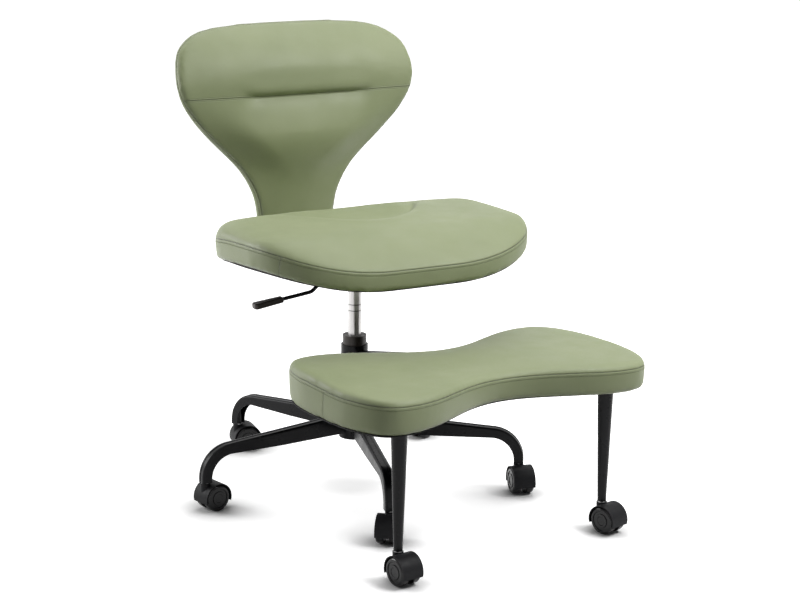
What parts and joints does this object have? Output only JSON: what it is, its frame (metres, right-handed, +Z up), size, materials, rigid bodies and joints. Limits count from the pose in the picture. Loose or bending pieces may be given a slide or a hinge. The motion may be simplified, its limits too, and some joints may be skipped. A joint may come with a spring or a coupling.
{
  "type": "cross-legged office chair",
  "caption": "Wheeled office chair with a wide saddle seat, a mushroom-shaped back and a broad waisted footrest cushion that swings round the gas-lift column on its own wheeled legs.",
  "frame": {"origin": "the column's axis at floor level", "axes": "+Z up, -Y the way the sitter faces, +X the sitter's left"},
  "size_m": [0.7637, 0.9466, 0.9481],
  "materials": {
    "green_leather": "satin",
    "black_metal": "semi-gloss",
    "chrome": "polished",
    "steel": "satin",
    "plywood": "raw",
    "black_fabric": "matt",
    "black_plastic": "satin",
    "caster_plastic": "matt",
    "wheel_plastic": "gloss"
  },
  "bodies": {
    "base": {"base_hub": "black_metal", "base_arm_1": "black_metal", "base_arm_2": "black_metal", "base_arm_3": "black_metal", "base_arm_4": "black_metal", "base_arm_5": "black_metal", "stem_sockets": "steel", "outer_tube": "black_metal", "guide_bush": "black_plastic", "thrust_bearing": "steel", "sleeve_washer": "black_plastic"},
    "lift_rod": {"piston_rod": "steel", "rod_clip": "steel"},
    "seat": {"gas_cylinder": "chrome", "lift_plate": "black_metal", "seat_board": "plywood", "seat_liner": "black_fabric", "seat_cushion": "green_leather", "back_bar": "black_metal", "back_board": "plywood", "back_cushion": "green_leather", "frame_bolts": "steel"},
    "valve_pin": {"release_pin": "steel"},
    "lever": {"lever_rod": "black_metal", "lever_grip": "black_plastic"},
    "footrest": {"footrest_bracket": "black_metal", "footrest_board": "plywood", "footrest_liner": "black_fabric", "footrest_cushion": "green_leather", "footrest_leg_left": "black_metal", "footrest_leg_right": "black_metal", "footrest_screws": "steel"},
    "caster_1": {"caster_1_hood": "caster_plastic", "caster_1_pins": "steel"},
    "caster_1_wheel_left": {"caster_1_wheel_left": "wheel_plastic"},
    "caster_1_wheel_right": {"caster_1_wheel_right": "wheel_plastic"},
    "caster_2": {"caster_2_hood": "caster_plastic", "caster_2_pins": "steel"},
    "caster_2_wheel_left": {"caster_2_wheel_left": "wheel_plastic"},
    "caster_2_wheel_right": {"caster_2_wheel_right": "wheel_plastic"},
    "caster_3": {"caster_3_hood": "caster_plastic", "caster_3_pins": "steel"},
    "caster_3_wheel_left": {"caster_3_wheel_left": "wheel_plastic"},
    "caster_3_wheel_right": {"caster_3_wheel_right": "wheel_plastic"},
    "caster_4": {"caster_4_hood": "caster_plastic", "caster_4_pins": "steel"},
    "caster_4_wheel_left": {"caster_4_wheel_left": "wheel_plastic"},
    "caster_4_wheel_right": {"caster_4_wheel_right": "wheel_plastic"},
    "caster_5": {"caster_5_hood": "caster_plastic", "caster_5_pins": "steel"},
    "caster_5_wheel_left": {"caster_5_wheel_left": "wheel_plastic"},
    "caster_5_wheel_right": {"caster_5_wheel_right": "wheel_plastic"},
    "caster_6": {"caster_6_hood": "caster_plastic", "caster_6_pins": "steel"},
    "caster_6_wheel_left": {"caster_6_wheel_left": "wheel_plastic"},
    "caster_6_wheel_right": {"caster_6_wheel_right": "wheel_plastic"},
    "caster_7": {"caster_7_hood": "caster_plastic", "caster_7_pins": "steel"},
    "caster_7_wheel_left": {"caster_7_wheel_left": "wheel_plastic"},
    "caster_7_wheel_right": {"caster_7_wheel_right": "wheel_plastic"}
  },
  "joints": [
    {"name": "column_swivel", "type": "hinge", "parent": "base", "child": "lift_rod", "pos_m": [0, 0, 0.12], "axis": [0, 0, 1], "continuous": true},
    {"name": "seat_lift", "type": "slide", "parent": "lift_rod", "child": "seat", "axis": [0, 0, 1], "range_m": [-0.07, 0.02]},
    {"name": "lever_tilt", "type": "hinge", "parent": "seat", "child": "lever", "pos_m": [-0.038, 0, 0.4594], "axis": [0, 1, 0], "range_deg": [0, 5], "stiffness_Nm_per_rad": 4, "springref_deg": -5.73},
    {"name": "valve_press", "type": "slide", "parent": "seat", "child": "valve_pin", "axis": [0, 0, 1], "range_m": [-0.0035, 0]},
    {"name": "footrest_swing", "type": "hinge", "parent": "base", "child": "footrest", "pos_m": [0, 0, 0.178], "axis": [0, 0, 1], "continuous": true},
    {"name": "caster_1_swivel", "type": "hinge", "parent": "base", "child": "caster_1", "pos_m": [-0.34985, -0.01038, 0.0616], "axis": [0, 0, 1], "continuous": true},
    {"name": "caster_1_roll_left", "type": "hinge", "parent": "caster_1", "child": "caster_1_wheel_left", "pos_m": [-0.33221, -0.00679, 0.028], "axis": [-0.1994, 0.9799, 0], "continuous": true},
    {"name": "caster_1_roll_right", "type": "hinge", "parent": "caster_1", "child": "caster_1_wheel_right", "pos_m": [-0.33221, -0.00679, 0.028], "axis": [-0.1994, 0.9799, 0], "continuous": true},
    {"name": "caster_2_swivel", "type": "hinge", "parent": "base", "child": "caster_2", "pos_m": [-0.09823, -0.33593, 0.0616], "axis": [0, 0, 1], "continuous": true},
    {"name": "caster_2_roll_left", "type": "hinge", "parent": "caster_2", "child": "caster_2_wheel_left", "pos_m": [-0.10968, -0.34982, 0.028], "axis": [0.7716, -0.6361, 0], "continuous": true},
    {"name": "caster_2_roll_right", "type": "hinge", "parent": "caster_2", "child": "caster_2_wheel_right", "pos_m": [-0.10968, -0.34982, 0.028], "axis": [0.7716, -0.6361, 0], "continuous": true},
    {"name": "caster_3_swivel", "type": "hinge", "parent": "base", "child": "caster_3", "pos_m": [0.28913, -0.19723, 0.0616], "axis": [0, 0, 1], "continuous": true},
    {"name": "caster_3_roll_left", "type": "hinge", "parent": "caster_3", "child": "caster_3_wheel_left", "pos_m": [0.28463, -0.21466, 0.028], "axis": [0.9681, -0.2504, 0], "continuous": true},
    {"name": "caster_3_roll_right", "type": "hinge", "parent": "caster_3", "child": "caster_3_wheel_right", "pos_m": [0.28463, -0.21466, 0.028], "axis": [0.9681, -0.2504, 0], "continuous": true},
    {"name": "caster_4_swivel", "type": "hinge", "parent": "base", "child": "caster_4", "pos_m": [0.27693, 0.21403, 0.0616], "axis": [0, 0, 1], "continuous": true},
    {"name": "caster_4_roll_left", "type": "hinge", "parent": "caster_4", "child": "caster_4_wheel_left", "pos_m": [0.29252, 0.22303, 0.028], "axis": [-0.5, 0.866, 0], "continuous": true},
    {"name": "caster_4_roll_right", "type": "hinge", "parent": "caster_4", "child": "caster_4_wheel_right", "pos_m": [0.29252, 0.22303, 0.028], "axis": [-0.5, 0.866, 0], "continuous": true},
    {"name": "caster_5_swivel", "type": "hinge", "parent": "base", "child": "caster_5", "pos_m": [-0.11798, 0.32952, 0.0616], "axis": [0, 0, 1], "continuous": true},
    {"name": "caster_5_roll_left", "type": "hinge", "parent": "caster_5", "child": "caster_5_wheel_left", "pos_m": [-0.10023, 0.32654, 0.028], "axis": [0.165, 0.9863, 0], "continuous": true},
    {"name": "caster_5_roll_right", "type": "hinge", "parent": "caster_5", "child": "caster_5_wheel_right", "pos_m": [-0.10023, 0.32654, 0.028], "axis": [0.165, 0.9863, 0], "continuous": true},
    {"name": "caster_6_swivel", "type": "hinge", "parent": "footrest", "child": "caster_6", "pos_m": [-0.1933, -0.53645, 0.0616], "axis": [0, 0, 1], "continuous": true},
    {"name": "caster_6_roll_left", "type": "hinge", "parent": "caster_6", "child": "caster_6_wheel_left", "pos_m": [-0.19095, -0.5543, 0.028], "axis": [0.9914, 0.1305, 0], "continuous": true},
    {"name": "caster_6_roll_right", "type": "hinge", "parent": "caster_6", "child": "caster_6_wheel_right", "pos_m": [-0.19095, -0.5543, 0.028], "axis": [0.9914, 0.1305, 0], "continuous": true},
    {"name": "caster_7_swivel", "type": "hinge", "parent": "footrest", "child": "caster_7", "pos_m": [0.30567, -0.48136, 0.0616], "axis": [0, 0, 1], "continuous": true},
    {"name": "caster_7_roll_left", "type": "hinge", "parent": "caster_7", "child": "caster_7_wheel_left", "pos_m": [0.31048, -0.49871, 0.028], "axis": [0.9636, 0.2672, 0], "continuous": true},
    {"name": "caster_7_roll_right", "type": "hinge", "parent": "caster_7", "child": "caster_7_wheel_right", "pos_m": [0.31048, -0.49871, 0.028], "axis": [0.9636, 0.2672, 0], "continuous": true}
  ],
  "couplings": [
    {"joint": "valve_press", "follows": "lever_tilt", "m_per_rad": -0.038}
  ]
}
